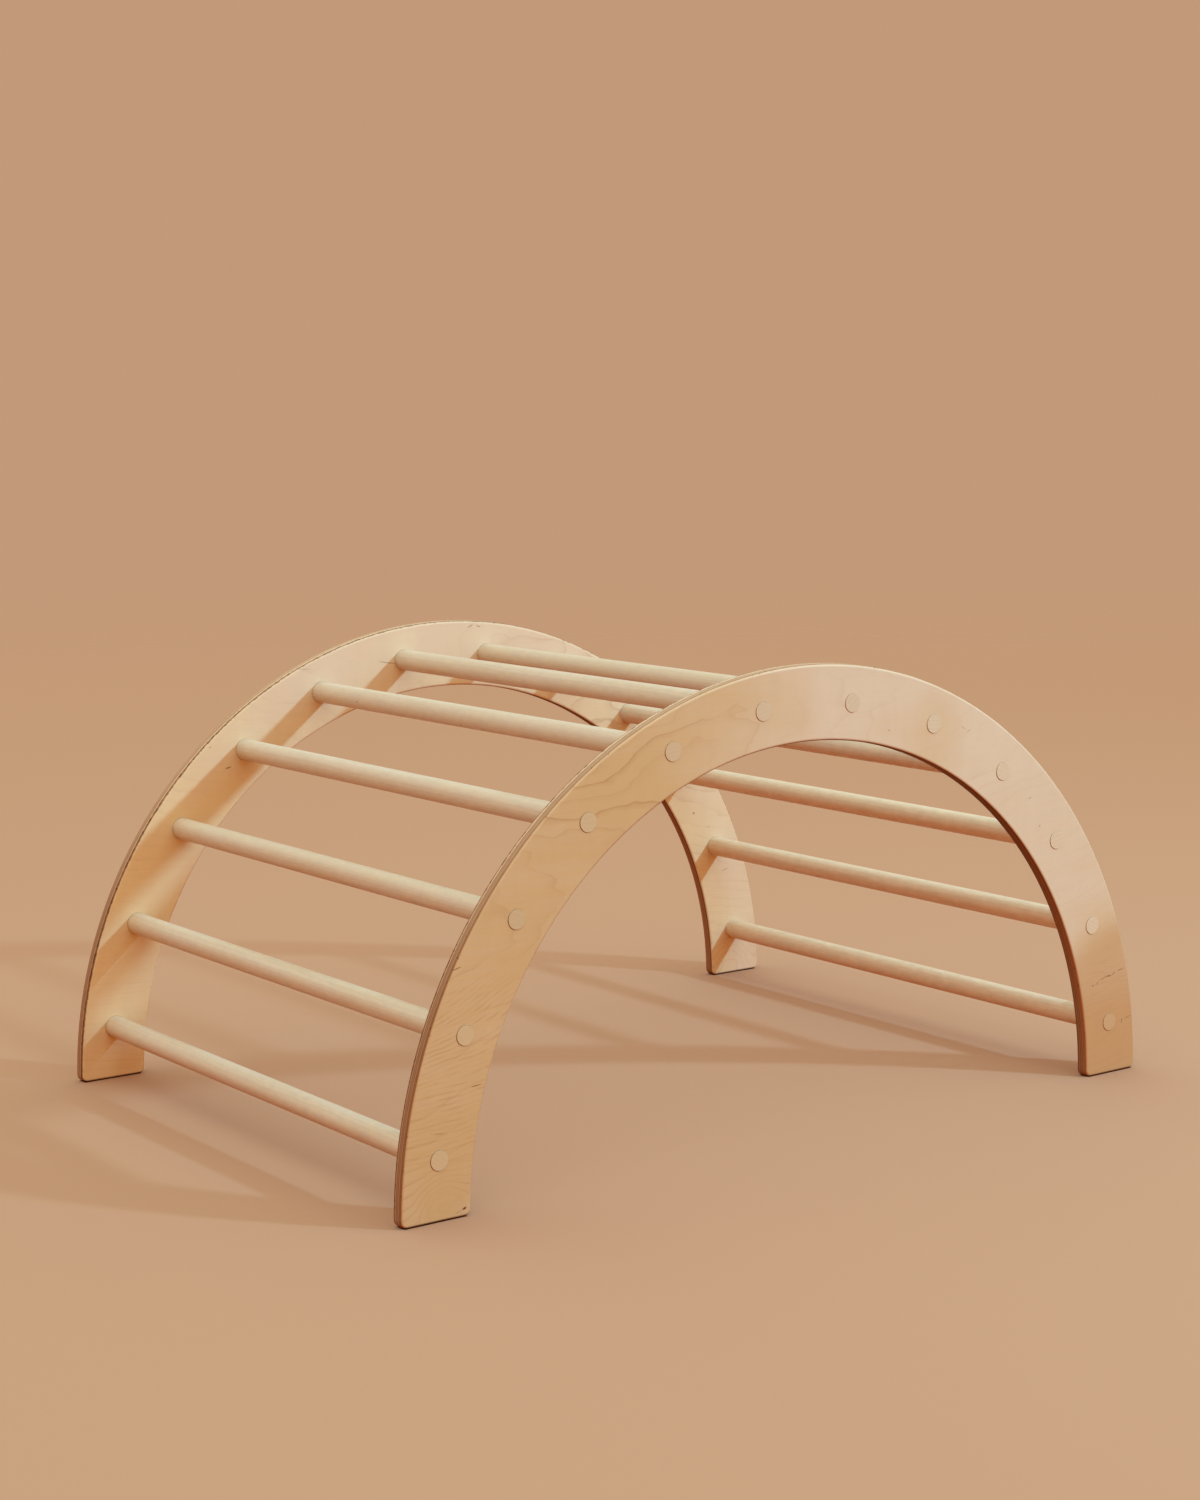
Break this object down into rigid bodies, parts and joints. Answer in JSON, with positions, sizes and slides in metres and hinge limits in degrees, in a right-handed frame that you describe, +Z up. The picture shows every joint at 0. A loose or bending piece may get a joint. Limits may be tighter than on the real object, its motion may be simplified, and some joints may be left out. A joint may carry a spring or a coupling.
{
  "type": "wooden rocker arch",
  "caption": "Half-round plywood arch with round wooden rungs for a child to climb over, crawl under, or rock in when it is turned over.",
  "frame": {"origin": "on the floor, at the middle of the four feet: the bottom centre of the bounding box", "axes": "+X along the span of the arch, +Y along the rungs from the front panel to the back panel, +Z up"},
  "size_m": [1.0098, 0.7016, 0.505],
  "materials": {
    "birch_plywood": "clear satin lacquer on birch plywood",
    "beech_rung": "fine sanded, clear matt oil",
    "beech_cap": "fine sanded, clear matt oil",
    "zinc_screw": "zinc plated"
  },
  "bodies": {
    "root": {"front_side_panel": "birch_plywood", "back_side_panel": "birch_plywood", "rung_01": "beech_rung", "rung_02": "beech_rung", "rung_03": "beech_rung", "rung_04": "beech_rung", "rung_05": "beech_rung", "rung_06": "beech_rung", "rung_07": "beech_rung", "rung_08": "beech_rung", "rung_09": "beech_rung", "rung_10": "beech_rung", "rung_11": "beech_rung", "rung_12": "beech_rung", "front_screws": "zinc_screw", "back_screws": "zinc_screw", "front_cap_01": "beech_cap", "front_cap_02": "beech_cap", "front_cap_03": "beech_cap", "front_cap_04": "beech_cap", "front_cap_05": "beech_cap", "front_cap_06": "beech_cap", "front_cap_07": "beech_cap", "front_cap_08": "beech_cap", "front_cap_09": "beech_cap", "front_cap_10": "beech_cap", "front_cap_11": "beech_cap", "front_cap_12": "beech_cap", "back_cap_01": "beech_cap", "back_cap_02": "beech_cap", "back_cap_03": "beech_cap", "back_cap_04": "beech_cap", "back_cap_05": "beech_cap", "back_cap_06": "beech_cap", "back_cap_07": "beech_cap", "back_cap_08": "beech_cap", "back_cap_09": "beech_cap", "back_cap_10": "beech_cap", "back_cap_11": "beech_cap", "back_cap_12": "beech_cap"}
  },
  "joints": []
}
